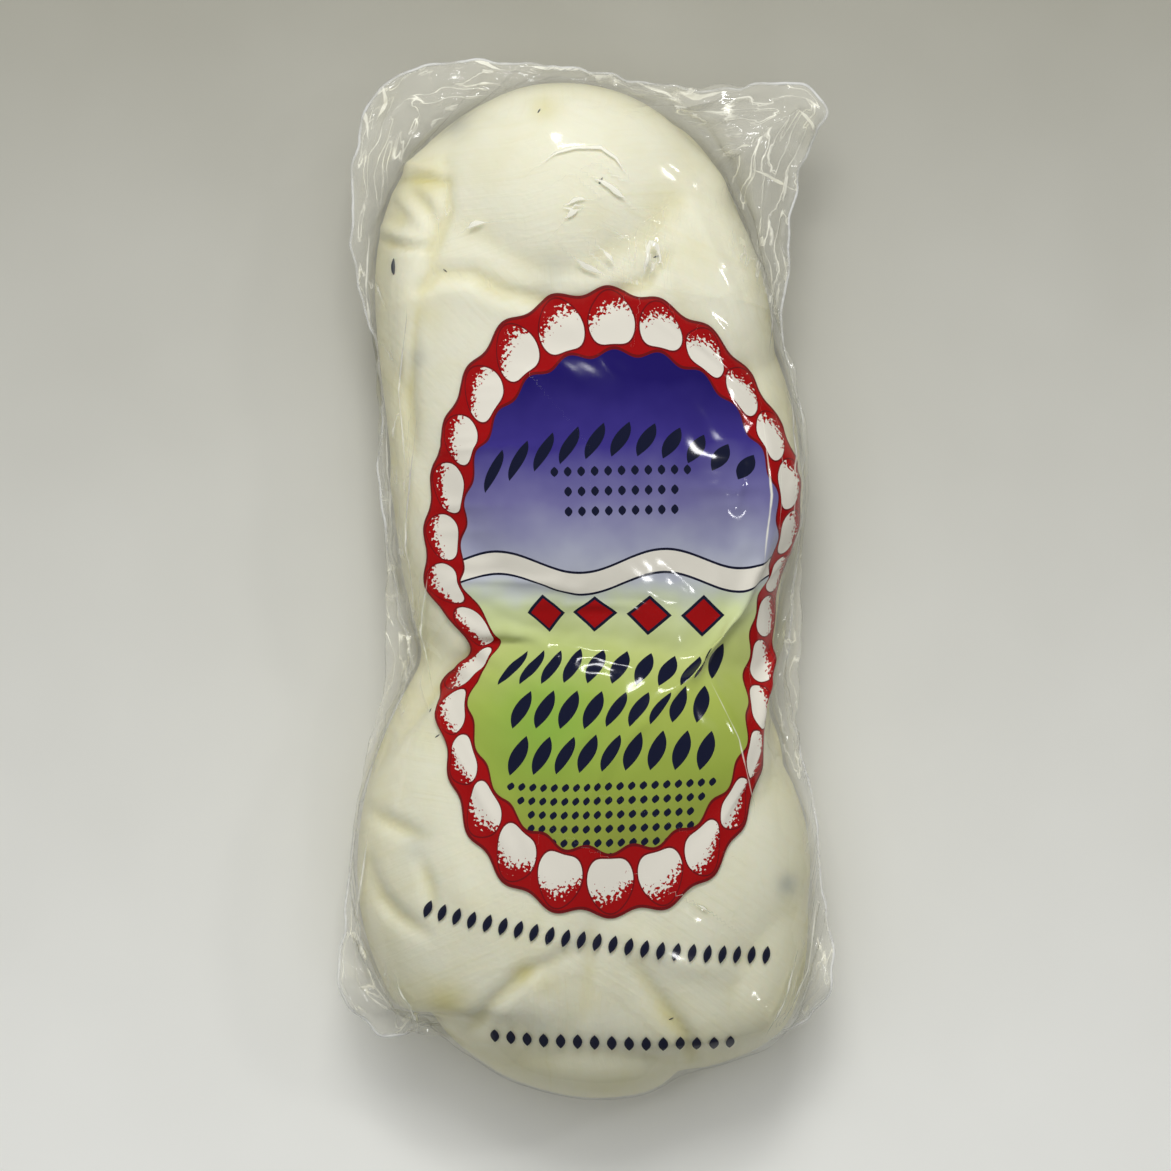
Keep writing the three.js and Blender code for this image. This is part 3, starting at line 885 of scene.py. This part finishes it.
def filmSurface(add, spot, crumpled, ink=None, inkShare=None):
    # the film's shader; the printed film gives its ink and the ink's share as sockets
    look = filmLook
    normal, alpha = None, look["hazeTight"]
    # the crests of little folds carry a painted highlight, a white line painted into the film
    fold = add("Attribute", attribute_name="fold")
    foldParts = add("SeparateXYZ", (fold.outputs["Vector"],))
    uneven = add("TexNoise", {"Vector": spot, "Scale": perMetre / look["paintedHighlightSize"]})
    widened = add("MapRange", (uneven, *look["paintedHighlightWidths"]))
    aside = add("abs", (foldParts.outputs[0],))
    halfPaintedHighlight = add("*", (foldParts.outputs[1], widened))
    within = add("-", (halfPaintedHighlight, aside))
    paintedHighlight = add("MapRange", (within, 0.0, look["paintedHighlightEdge"], 0.0, look["paintedHighlight"]))
    if crumpled:
        # creases run mostly along the flange, and a sharp one is painted white: partly the whitening of
        # creased film, partly a painted highlight
        flange = add("Attribute", attribute_name="flange").outputs["Vector"]
        loose = add("Attribute", attribute_name="looseness").outputs["Fac"]
        stretch = (1 / look["creaseAlong"], 1 / look["creaseAlong"], 1 / look["creaseAcross"])
        stretched = add("VectorMath", (flange, stretch), operation="MULTIPLY")
        waves = add("TexNoise", {"Vector": stretched, "Scale": 1, "Detail": 1.5, "Distortion": 0.25})
        ridge = add("abs", (add("-", (waves, look["ridgeLevel"])),))
        strength = add("MapRange", (loose, *look["crinkled"], 0.0, look["crinkle"]))
        normal = add("Bump", {"Strength": strength, "Distance": look["crinkleDepth"], "Height": ridge})
        crease = add("MapRange", (ridge, look["creaseWidth"], 0.0, 0.0, look["paintedCreaseHighlight"]))
        patches = add("TexNoise", {"Vector": flange, "Scale": 1 / look["patchSize"]})
        patchy = add("MapRange", (patches, *look["patchy"]))
        crease = add("*", (crease, patchy))
        spread = add("MapRange", (loose, *look["creased"], 0.0, 1.0))
        haze = add("MapRange", (loose, *look["hazed"], look["hazeTight"], look["hazeSlack"]))
        alpha = add("*+", (crease, spread, haze), use_clamp=True)
    alpha = add("max", (paintedHighlight, alpha))
    colour = look["haze"]
    if ink:
        alpha = add("max", (inkShare, alpha))
        # the painted highlight lies over the ink too
        colour = add("Mix", {0: paintedHighlight, 6: ink, 7: colour}, data_type="RGBA").outputs[2]
    body = add("BsdfPrincipled", {"Base Color": colour, "Alpha": alpha, "Roughness": 0.5,
                                  "Specular IOR Level": 0.0, "Normal": normal})
    mirror = add("BsdfGlossy", {"Roughness": look["gloss"], "Normal": normal})
    # thin film mirrors the same from both sides, so its share goes by the slant alone
    slant = add("LayerWeight", {"Blend": 0.5, "Normal": normal})
    steep = add("^", (slant.outputs["Facing"], look["mirrorPower"]))
    share = add("*+", (steep, look["mirrorSlanted"], look["mirrorShare"]), use_clamp=True)
    return add("MixShader", (share, body, mirror))


def clearFilmMaterial(crumpled):
    material, add, spot = newMaterial("clear_vacuum_film_crumpled" if crumpled else "clear_vacuum_film")
    add("OutputMaterial", (filmSurface(add, spot, crumpled),))
    return material


# The print, in opaque inks on the film: a scalloped red band of beads round a field that goes from violet to
# green, with rows of leaves, dots and dashes. All sizes are in millimetres from the middle of the band.
labelPrint = {
    "middle": (4.4, -10.8),  # on the flat film
    "reach": (45, -106, 66),  # of the printed part: half its width, its lower end and its upper end
    "halfWidth": 41,
    "halfHeight": 64,
    "power": 2.4,
    "beads": 30,
    "evening": 0.12,  # brings the beads' spacing round the band closer to even
    "scallop": 0.013,
    "bandInner": 0.8,
    "rim": 0.9,  # from here to the band's edges it is dark, as a share of half its width
    "insideFrom": -0.99,  # the field reaches just under the band, whose inner edge is at -1
    "bead": (0.45, 0.83, 1.13),  # half width of a cell, half height of the band, and its outline's size
    "shade": (2.2, 0.3, 1.52),  # of a bead: how speckled, how slanted, and where it begins
    "speckle": 0.7,
    "inkShare": 0.97,
    "fieldSpan": 110,
    "sway": (9, 9),  # how large the field's soft waves are, and how far they go
    "field": [
        (-54, "8D953C"), (-36, "9BAD46"), (-22, "AEBD58"), (-10, "C3CD80"), (-1, "D2DCA4"), (6, "C2C6D0"),
        (13, "A1A3BC"), (22, "7571A2"), (33, "3B3084"), (46, "1B0F60"),
    ],
    "bloom": (-14, -25, 13, 12),  # a greener place low on the left: where, and how wide and high
    "bloomShare": 0.6,
    "pinch": (-32, -8, 14, 8),
    "pinchBy": 9,
    "ribbon": (0.19, 2.2, 7.5, 2.6, 2.1),  # its waves, sway, height, half its width, and that inside its rim
    "gems": (11, 4.6, 4.2, -1.6, 0.8, 21.9),  # pitch, half width and height, where, inside the rim, and reach
    # rows of small shapes: name, upper end, height of a row, rows, shapes to each side of the middle, how
    # many fewer in each next row, how far off the middle, spacing, half width and half height of a shape,
    # slant, sag and tilt
    "rows": [
        ("garland", 37.5, 7.4, 1, 5, 0, 0, 5, 1.5, 3.4, 0.55, 0.009, 0),
        ("beadRows", 29.6, 3.9, 3, 5, 0.5, 0, 2.6, 0.75, 1, 0, 0, 0),
        ("leaves", -8.8, 9.3, 3, 5, 0.6, 0, 4.9, 1.65, 3.9, 0.38, 0.002, 0),
        ("dashes", -37.6, 2.75, 6, 9, 0.8, 0, 2.3, 0.74, 0.85, 0.25, 0, 0),
        ("arc", -67.6, 4.6, 1, 11, 0, -2.6, 3.05, 0.8, 1.9, 0.3, 0.0022, 0.17),
        ("lowest", -89, 4, 1, 7, 0, 0, 3.2, 0.9, 1.8, 0, 0.004, 0.05),
    ],
    # what is laid over the field, one after the other, and in which ink
    "layers": [("bloom", "fresh"), ("ribbon", "cream"), ("ribbonRim", "navy"), ("gem", "red"),
               ("band", "red"), ("beadIn", "darkRed"), ("beadOn", "cream"), ("shaded", "red"),
               ("bandRim", "darkRed"), ("navy", "navy")],
    "inks": {"fresh": "7DB23C", "navy": "10142E", "red": "A20205", "darkRed": "6E0A10", "cream": "E9E4D6"},
}


def moundSteps(name, across, middleX, middleY, wide, high):
    # 1 in the middle, and less and less all round
    return [("u", "*+", across, 1 / wide, -middleX / wide), ("v", "*+", "y", 1 / high, -middleY / high),
            ("vv", "*", "v", "v"), ("far", "*+", "u", "u", "vv"), ("near", "*", "far", -1),
            (name, "exp", "near")]


def bandSteps():
    # the band: r is 1 on its outer edge, and over runs from -1 to 1 over its width; and its beads
    look = labelPrint
    power, inner, circle = look["power"], look["bandInner"], 2 * math.pi
    beadWide, beadHigh, outline = look["bead"]
    speckled, slanted, shadeFrom = look["shade"]
    return [
        ("u", "/", "x", look["halfWidth"]), ("v", "/", "y", look["halfHeight"]),
        ("uSide", "abs", "u"), ("vSide", "abs", "v"),
        ("uPower", "^", "uSide", power), ("vPower", "^", "vSide", power),
        ("sum", "+", "uPower", "vPower"), ("r", "^", "sum", 1 / power),
        ("slant", "angle", "v", "u"), ("double", "*", "slant", 2), ("bulge", "sin", "double"),
        ("even", "*+", "bulge", look["evening"], "slant"), ("turns", "*", "even", look["beads"] / circle),
        ("cell", "part", "turns"), ("fromBead", "-", "cell", 0.5),
        ("around", "*", "turns", circle), ("wave", "cos", "around"),
        ("edge", "*+", "wave", look["scallop"], "r"), ("outwards", "-", "edge", (1 + inner) / 2),
        ("over", "/", "outwards", (1 - inner) / 2), ("off", "abs", "over"),
        ("band", "<", "off", 1), ("inside", "<", "over", look["insideFrom"]),
        ("rim", ">", "off", look["rim"]), ("bandRim", "*", "rim", "band"),
        ("beadX", "/", "fromBead", beadWide), ("beadY", "/", "over", beadHigh),
        ("beadXX", "*", "beadX", "beadX"), ("bead", "*+", "beadY", "beadY", "beadXX"),
        ("on", "<", "bead", 1), ("beadOn", "*", "on", "band"),
        ("in", "<", "bead", outline), ("beadIn", "*", "in", "band"),
        ("grit", "*+", "speckle", speckled, "beadY"), ("gritted", "*+", "beadX", slanted, "grit"),
        ("shade", ">", "gritted", shadeFrom), ("shaded", "*", "shade", "beadOn"),
    ]


def rowSteps(name, upper, high, count, reach, fewer, aside, pitch, halfWide, halfHigh, slant, sag, tilt):
    return [
        ("slope", "*+", "x", sag, tilt), ("lifted", "*+", "slope", "x", "y"), ("down", "-", upper, "lifted"),
        ("row", "/", "down", high), ("cell", "part", "row"), ("middle", "-", "cell", 0.5),
        ("ownY", "*", "middle", high), ("index", "floor", "row"),
        ("along", "*+", "x", 1 / pitch, 0.5 - aside / pitch), ("number", "floor", "along"),
        ("cell", "part", "along"), ("middle", "-", "cell", 0.5), ("ownX", "*", "middle", pitch),
        ("leaned", "*+", "ownY", slant, "ownX"), ("off", "abs", "leaned"), ("tall", "/", "ownY", halfHigh),
        ("square", "*", "tall", "tall"), ("left", "-", 1, "square"), ("wide", "*", "left", halfWide),
        ("shape", "<", "off", "wide"), ("side", "abs", "number"),
        ("room", "*+", "index", -fewer, reach + 0.5), ("near", "<", "side", "room"),
        ("from", ">", "row", 0), ("to", "<", "row", count), ("rows", "*", "from", "to"),
        ("shape", "*", "shape", "near"), (name, "*", "shape", "rows"),
    ]


def printedFilmMaterial():
    look = labelPrint
    material, add, objectSpot = newMaterial("printed_vacuum_film")
    uv = add("UVMap", uv_map="UVMap")
    span = filmPouch["uvSpan"] / millimetre
    middle = (-span / 2 - look["middle"][0], -span / 2 - look["middle"][1], 0)
    spot = add("VectorMath", (uv, (span, span, 0), middle), operation="MULTIPLY_ADD")
    parts = add("SeparateXYZ", (spot,))
    swaySize, swayReach = look["sway"]
    wires = {"across": parts.outputs[0], "y": parts.outputs[1]}
    for name, size in (("speckle", look["speckle"]), ("soft", swaySize)):
        wires[name] = add("TexNoise", {"Vector": spot, "Scale": 1 / size, "Detail": 2})

    waves, sway, ribbonAt, ribbonHalf, ribbonInner = look["ribbon"]
    pitch, gemWide, gemHigh, gemAt, gemInner, gemReach = look["gems"]
    fieldSpan = look["fieldSpan"]
    steps = [
        # where the film is drawn into the waist, the print comes with it
        *moundSteps("pinch", "across", *look["pinch"]), ("x", "*+", "pinch", -look["pinchBy"], "across"),
        *moundSteps("mound", "x", *look["bloom"]), ("bloom", "*", "mound", look["bloomShare"]),
        *bandSteps(),
        *(step for row in look["rows"] for step in rowSteps(*row)),
        # a wavy ribbon across the field, with a row of red diamonds under it
        ("bend", "*", "x", waves), ("bent", "sin", "bend"), ("swayed", "*+", "bent", -sway, "y"),
        ("at", "-", "swayed", ribbonAt), ("off", "abs", "at"), ("on", "<", "off", ribbonHalf),
        ("ribbon", "*", "on", "inside"), ("edge", ">", "off", ribbonInner),
        ("ribbonRim", "*", "edge", "ribbon"),
        ("along", "/", "x", pitch), ("cell", "part", "along"), ("middle", "-", "cell", 0.5),
        ("side", "abs", "middle"), ("gemX", "*", "side", pitch / gemWide), ("at", "-", "y", gemAt),
        ("gemY", "abs", "at"), ("size", "*+", "gemY", 1 / gemHigh, "gemX"), ("on", "<", "size", 1),
        ("edge", ">", "size", gemInner), ("side", "abs", "x"), ("near", "<", "side", gemReach),
        ("gem", "*", "on", "near"), ("gemRim", "*", "gem", "edge"),
        ("upper", "max", "garland", "beadRows"), ("lower", "max", "leaves", "dashes"),
        ("both", "max", "upper", "lower"), ("within", "*", "both", "inside"),
        ("below", "max", "arc", "lowest"), ("marks", "max", "within", "below"),
        ("navy", "max", "marks", "gemRim"),
        ("printed", "max", "band", "inside"), ("inked", "max", "printed", "navy"),
        ("share", "*", "inked", look["inkShare"]),
        ("swayed", "*+", "soft", swayReach, "y"),
        ("fade", "*+", "swayed", 1 / fieldSpan, 0.5 - swayReach / 2 / fieldSpan),
    ]
    for name, sign, *operands in steps:
        wires[name] = add(sign, [wires.get(o, o) for o in operands])
    ramp = add("ValToRGB", (wires["fade"],))
    stops, beforeLast = ramp.color_ramp.elements, 0.999  # the ramp's own last stop is taken away at the end
    for i, (height, colour) in enumerate(look["field"]):
        stop = stops[i] if i < 1 else stops.new(beforeLast)
        stop.position = height / fieldSpan + 0.5
        stop.color = linearColour(colour)
    stops.remove(stops[-1])
    ink = ramp.outputs[0]
    for mask, name in look["layers"]:
        ink = add("Mix", {0: wires[mask], 6: ink, 7: look["inks"][name]}, data_type="RGBA").outputs[2]
    add("OutputMaterial", (filmSurface(add, objectSpot, False, ink, wires["share"]),))
    return material


# Nigella seeds in the curd, here and there at the surface: x and y in shares, how long in millimetres, turn
# in degrees, and how much of the seed stands out.
seedLook = {
    "seeds": [
        (-0.755, 0.595, 3.4, 106, 0.5), (0.062, 0.75, 1.5, 60, 0.5), (0.28, 0.61, 1.3, 20, 0.4),
        (-0.55, 0.585, 1.2, 140, 0.3), (-0.58, -0.295, 1.3, 30, 0.3), (-0.61, -0.247, 1.2, 110, 0.3),
        (-0.18, 0.885, 1.3, 70, 0.3), (0.34, -0.83, 1.4, 15, 0.3),
    ],
    "width": 0.27,  # of the length
    "height": 0.34,
    "taper": (0.45, 1.5),  # how much thinner at one end, and how suddenly
    "edges": (3, 0.06),  # how many, and how high
    "dark": "14161C",
    "worn": "3A3F46",
    "netSize": 0.3,  # mm
    "castFrom": 3,  # well above the pack, as a share of its height
}


def makeSeeds():
    (thinner, suddenness), (edgeCount, edgeHeight) = seedLook["taper"], seedLook["edges"]
    seeds = []
    for x, y, length, turn, proud in seedLook["seeds"]:
        hit, spot, normal, face = braid.ray_cast(place(x, y, seedLook["castFrom"]), Vector((0, 0, -1)))
        seed = addMesh("uv_sphere", segments=16, ring_count=10, radius=0.5)
        size = length * millimetre
        shape = vertexPlaces(seed.data)
        # one end drawn out to a point, with slight edges, as a teardrop
        taper = 1 - thinner * np.clip(2 * shape[:, 0], 0, 1) ** suddenness
        edges = 1 + edgeHeight * np.cos(edgeCount * np.arctan2(shape[:, 1], shape[:, 2]))
        shape[:, 1] *= taper * edges * seedLook["width"]
        shape[:, 2] *= taper * edges * seedLook["height"]
        setVertexPlaces(seed.data, shape * size)
        way = Vector((math.cos(math.radians(turn)), math.sin(math.radians(turn)), 0))
        way = (way - normal * way.dot(normal)).normalized()
        seed.matrix_world = Matrix((way, normal.cross(way), normal)).transposed().to_4x4()
        seed.location = spot + normal * size * seedLook["height"] * (proud - 0.5)
        bpy.ops.object.transform_apply()
        bpy.ops.object.shade_smooth()
        seeds.append(seed)
    return joined("nigella_seeds", seeds)


def seedMaterial():
    # Nigella seed, dried: matt blue-black skin with a fine netted relief
    material, add, spot = newMaterial("nigella_seed_skin")
    scale = perMetre / seedLook["netSize"]
    net = add("TexVoronoi", {"Vector": spot, "Scale": scale}, feature="DISTANCE_TO_EDGE")
    tone = add("Mix", {0: net, 6: seedLook["worn"], 7: seedLook["dark"]}, data_type="RGBA")
    bump = add("Bump", {"Strength": 0.5, "Distance": 0.1 * millimetre, "Height": net})
    skin = add("BsdfPrincipled", {"Base Color": tone.outputs[2], "Roughness": 0.6, "Normal": bump})
    add("OutputMaterial", (skin,))
    return material


# The pouch's cut edge: the two sheets welded into one thin bead, painted milky white: partly the weld, partly
# a painted highlight, the white line of light that such an edge catches.
sealEdge = {
    "thickness": 0.32 * millimetre,
    "lowest": 0.05 * millimetre,  # above the table
    "colour": "F4F5F3",
    "unevenSize": 6,  # mm
    "uneven": (0.35, 0.65, 0.1375, 0.55),  # between which values of the noise, and how milky white: the weld's milkiness and a painted highlight
}


def makeSealEdge():
    # round the rim of the front sheet
    mesh = filmFront.data
    neighbours, uses = {}, {}
    for face in mesh.polygons:
        for key in face.edge_keys:
            uses[key] = uses.get(key, 0) + 1
    for (a, b), count in uses.items():
        if count == 1:
            neighbours.setdefault(a, []).append(b)
            neighbours.setdefault(b, []).append(a)
    start = min(neighbours)
    rim = [start, neighbours[start][0]]
    while rim[-1] != start:
        a, b = neighbours[rim[-1]]
        rim.append(b if a == rim[-2] else a)
    rim.pop()
    edge, spline = addPath("film_seal", "POLY", [(mesh.vertices[vertex].co, 1) for vertex in rim])
    spline.use_cyclic_u = True
    setAll(edge.data, {"bevel_depth": sealEdge["thickness"], "bevel_resolution": 1})
    selectOnly(edge)
    bpy.ops.object.convert(target="MESH")
    edge = bpy.context.object
    places = vertexPlaces(edge.data)
    places[:, 2] = np.maximum(places[:, 2], packLow.z + sealEdge["lowest"])
    setVertexPlaces(edge.data, places)
    bpy.ops.object.shade_smooth()
    return edge


def sealMaterial():
    # Heat-welded film edge: two sheets thick, glossy; its milky white is partly the weld and partly a painted
    # highlight
    material, add, spot = newMaterial("welded_film_edge")
    along = add("TexNoise", {"Vector": spot, "Scale": perMetre / sealEdge["unevenSize"]})
    share = add("MapRange", (along, *sealEdge["uneven"]))
    weld = add("BsdfPrincipled", {"Base Color": sealEdge["colour"], "Alpha": share, "Roughness": 0.25})
    add("OutputMaterial", (weld,))
    return material


seeds = makeSeeds()
seal = makeSealEdge()
print("seeds and seal:", len(seeds.data.polygons), len(seal.data.polygons), "faces")

tight, crumpled = clearFilmMaterial(False), clearFilmMaterial(True)
for piece, materials in {braid: [curdMaterial()], filmBack: [tight, crumpled], seeds: [seedMaterial()],
                         filmFront: [tight, crumpled, printedFilmMaterial()], seal: [sealMaterial()]}.items():
    piece.data.materials.clear()
    for material in materials:
        piece.data.materials.append(material)


def assignFilm(film, printed):
    # crumpled where the film is slack, and printed on the label's part of the front
    mesh = film.data
    gaps = readValues(mesh.attributes["looseness"].data, "value")
    corners = readValues(mesh.loops, "vertex_index", 1, np.int32)
    slots = (gaps[corners].reshape(-1, 4).max(axis=1) > filmCrumple["looseFrom"]).astype(np.int32)
    if printed:
        uv = readValues(mesh.uv_layers[0].data, "uv", 2).reshape(-1, 4, 2).mean(axis=1)
        flat = (uv - 0.5) * filmPouch["uvSpan"] / millimetre - labelPrint["middle"]
        wide, low, high = labelPrint["reach"]
        slots[(np.abs(flat[:, 0]) < wide) & (flat[:, 1] > low) & (flat[:, 1] < high)] = 2
    mesh.polygons.foreach_set("material_index", slots)
    mesh.update()


assignFilm(filmFront, True)
assignFilm(filmBack, False)
print("materials done")

rides = {braid: "cheese", filmFront: "clear_film", filmBack: "clear_film", seal: "clear_film", seeds: "seeds"}
for piece, slot in rides.items():
    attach(piece, "root")
    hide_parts("sealed_pack")

# A pale table, painted lighter towards its near end as painted light. A key lamp stands beyond the upper
# end, with a fill on the left, a wide soft box overhead and three small lamps that the film mirrors.
studio = {
    "table": ("A09E91", "FAFAF4"),  # at the far and the near end: painted light, darker far off and brighter near
    "tableEnds": (0.12, -0.12),
    "paintedLightShare": 0.9,
    "mottle": 0.1,
    "mottleSize": 40,  # mm
    "tableSize": 3.0,
    "frameWidth": 0.2342,  # what the camera takes in at the height of the margin
    "viewCentre": (0.0001, -0.0011),
    "cameraHeight": 0.9,
    "sensor": 36,
    "lamps": [  # place, width, depth, power and whether the film mirrors it
        ((-0.03, 0.42, 0.56), 0.26, 0.26, 1.85, False),
        ((-0.55, 0.1, 0.7), 0.9, 0.9, 1.2, False),
        ((0, 0.3, 1.1), 1.6, 1.6, 6, False),
        ((0.03, 0.58, 0.64), 0.2, 0.06, 0.7, True),
        ((0.3, -0.4, 0.7), 0.05, 0.05, 0.2, True),
        ((0.5, 0.2, 0.5), 0.06, 0.06, 0.3, True),
    ],
    "sky": "E6E9EE",
    "skyStrength": 0.13,
}


def tableMaterial():
    # Matt painted board, pale warm grey, faintly mottled; lighter towards the near edge as painted light
    material, add, spot = newMaterial("matt_painted_board")
    mottle = add("TexNoise", {"Vector": spot, "Scale": perMetre / studio["mottleSize"]})
    along = add("SeparateXYZ", (spot,)).outputs[1]
    paintedLightAndMottle = add("MapRange", (along, *studio["tableEnds"], 0.0, studio["paintedLightShare"]))
    paintedLightAndMottle = add("*+", (mottle, studio["mottle"], paintedLightAndMottle))
    far, near = studio["table"]
    tone = add("Mix", {0: paintedLightAndMottle, 6: far, 7: near}, data_type="RGBA")
    board = add("BsdfPrincipled", {"Base Color": tone.outputs[2], "Roughness": 0.85,
                                   "Specular IOR Level": 0.2})
    add("OutputMaterial", (board,))
    return material


table = addMesh("plane", size=studio["tableSize"], location=(packMiddle.x, packMiddle.y, packLow.z))
bpy.ops.object.transform_apply()
table.name = "table"
table.data.materials.append(tableMaterial())

for spot, width, depth, power, mirrored in studio["lamps"]:
    bpy.ops.object.light_add(type="AREA", location=spot)
    lamp = bpy.context.object
    setAll(lamp.data, {"shape": "RECTANGLE", "size": width, "size_y": depth, "energy": power})
    lamp.visible_glossy = mirrored
    lamp.rotation_euler = (packMiddle - Vector(spot)).to_track_quat("-Z", "Y").to_euler()

scene = bpy.context.scene
scene.world = scene.world or bpy.data.worlds.new("studio")
scene.world.use_nodes = True
sky = scene.world.node_tree.nodes["Background"]
sky.inputs["Color"].default_value = linearColour(studio["sky"])
sky.inputs["Strength"].default_value = studio["skyStrength"]
scene.view_settings.view_transform = "Standard"

cameraPlace = (*studio["viewCentre"], marginHeight + studio["cameraHeight"])
bpy.ops.object.camera_add(location=cameraPlace, rotation=(0, 0, 0))
camera = bpy.context.object
setAll(camera.data, {"sensor_width": studio["sensor"], "clip_start": 0.05,
                     "lens": studio["sensor"] * studio["cameraHeight"] / studio["frameWidth"]})
scene.camera = camera
print("studio done")
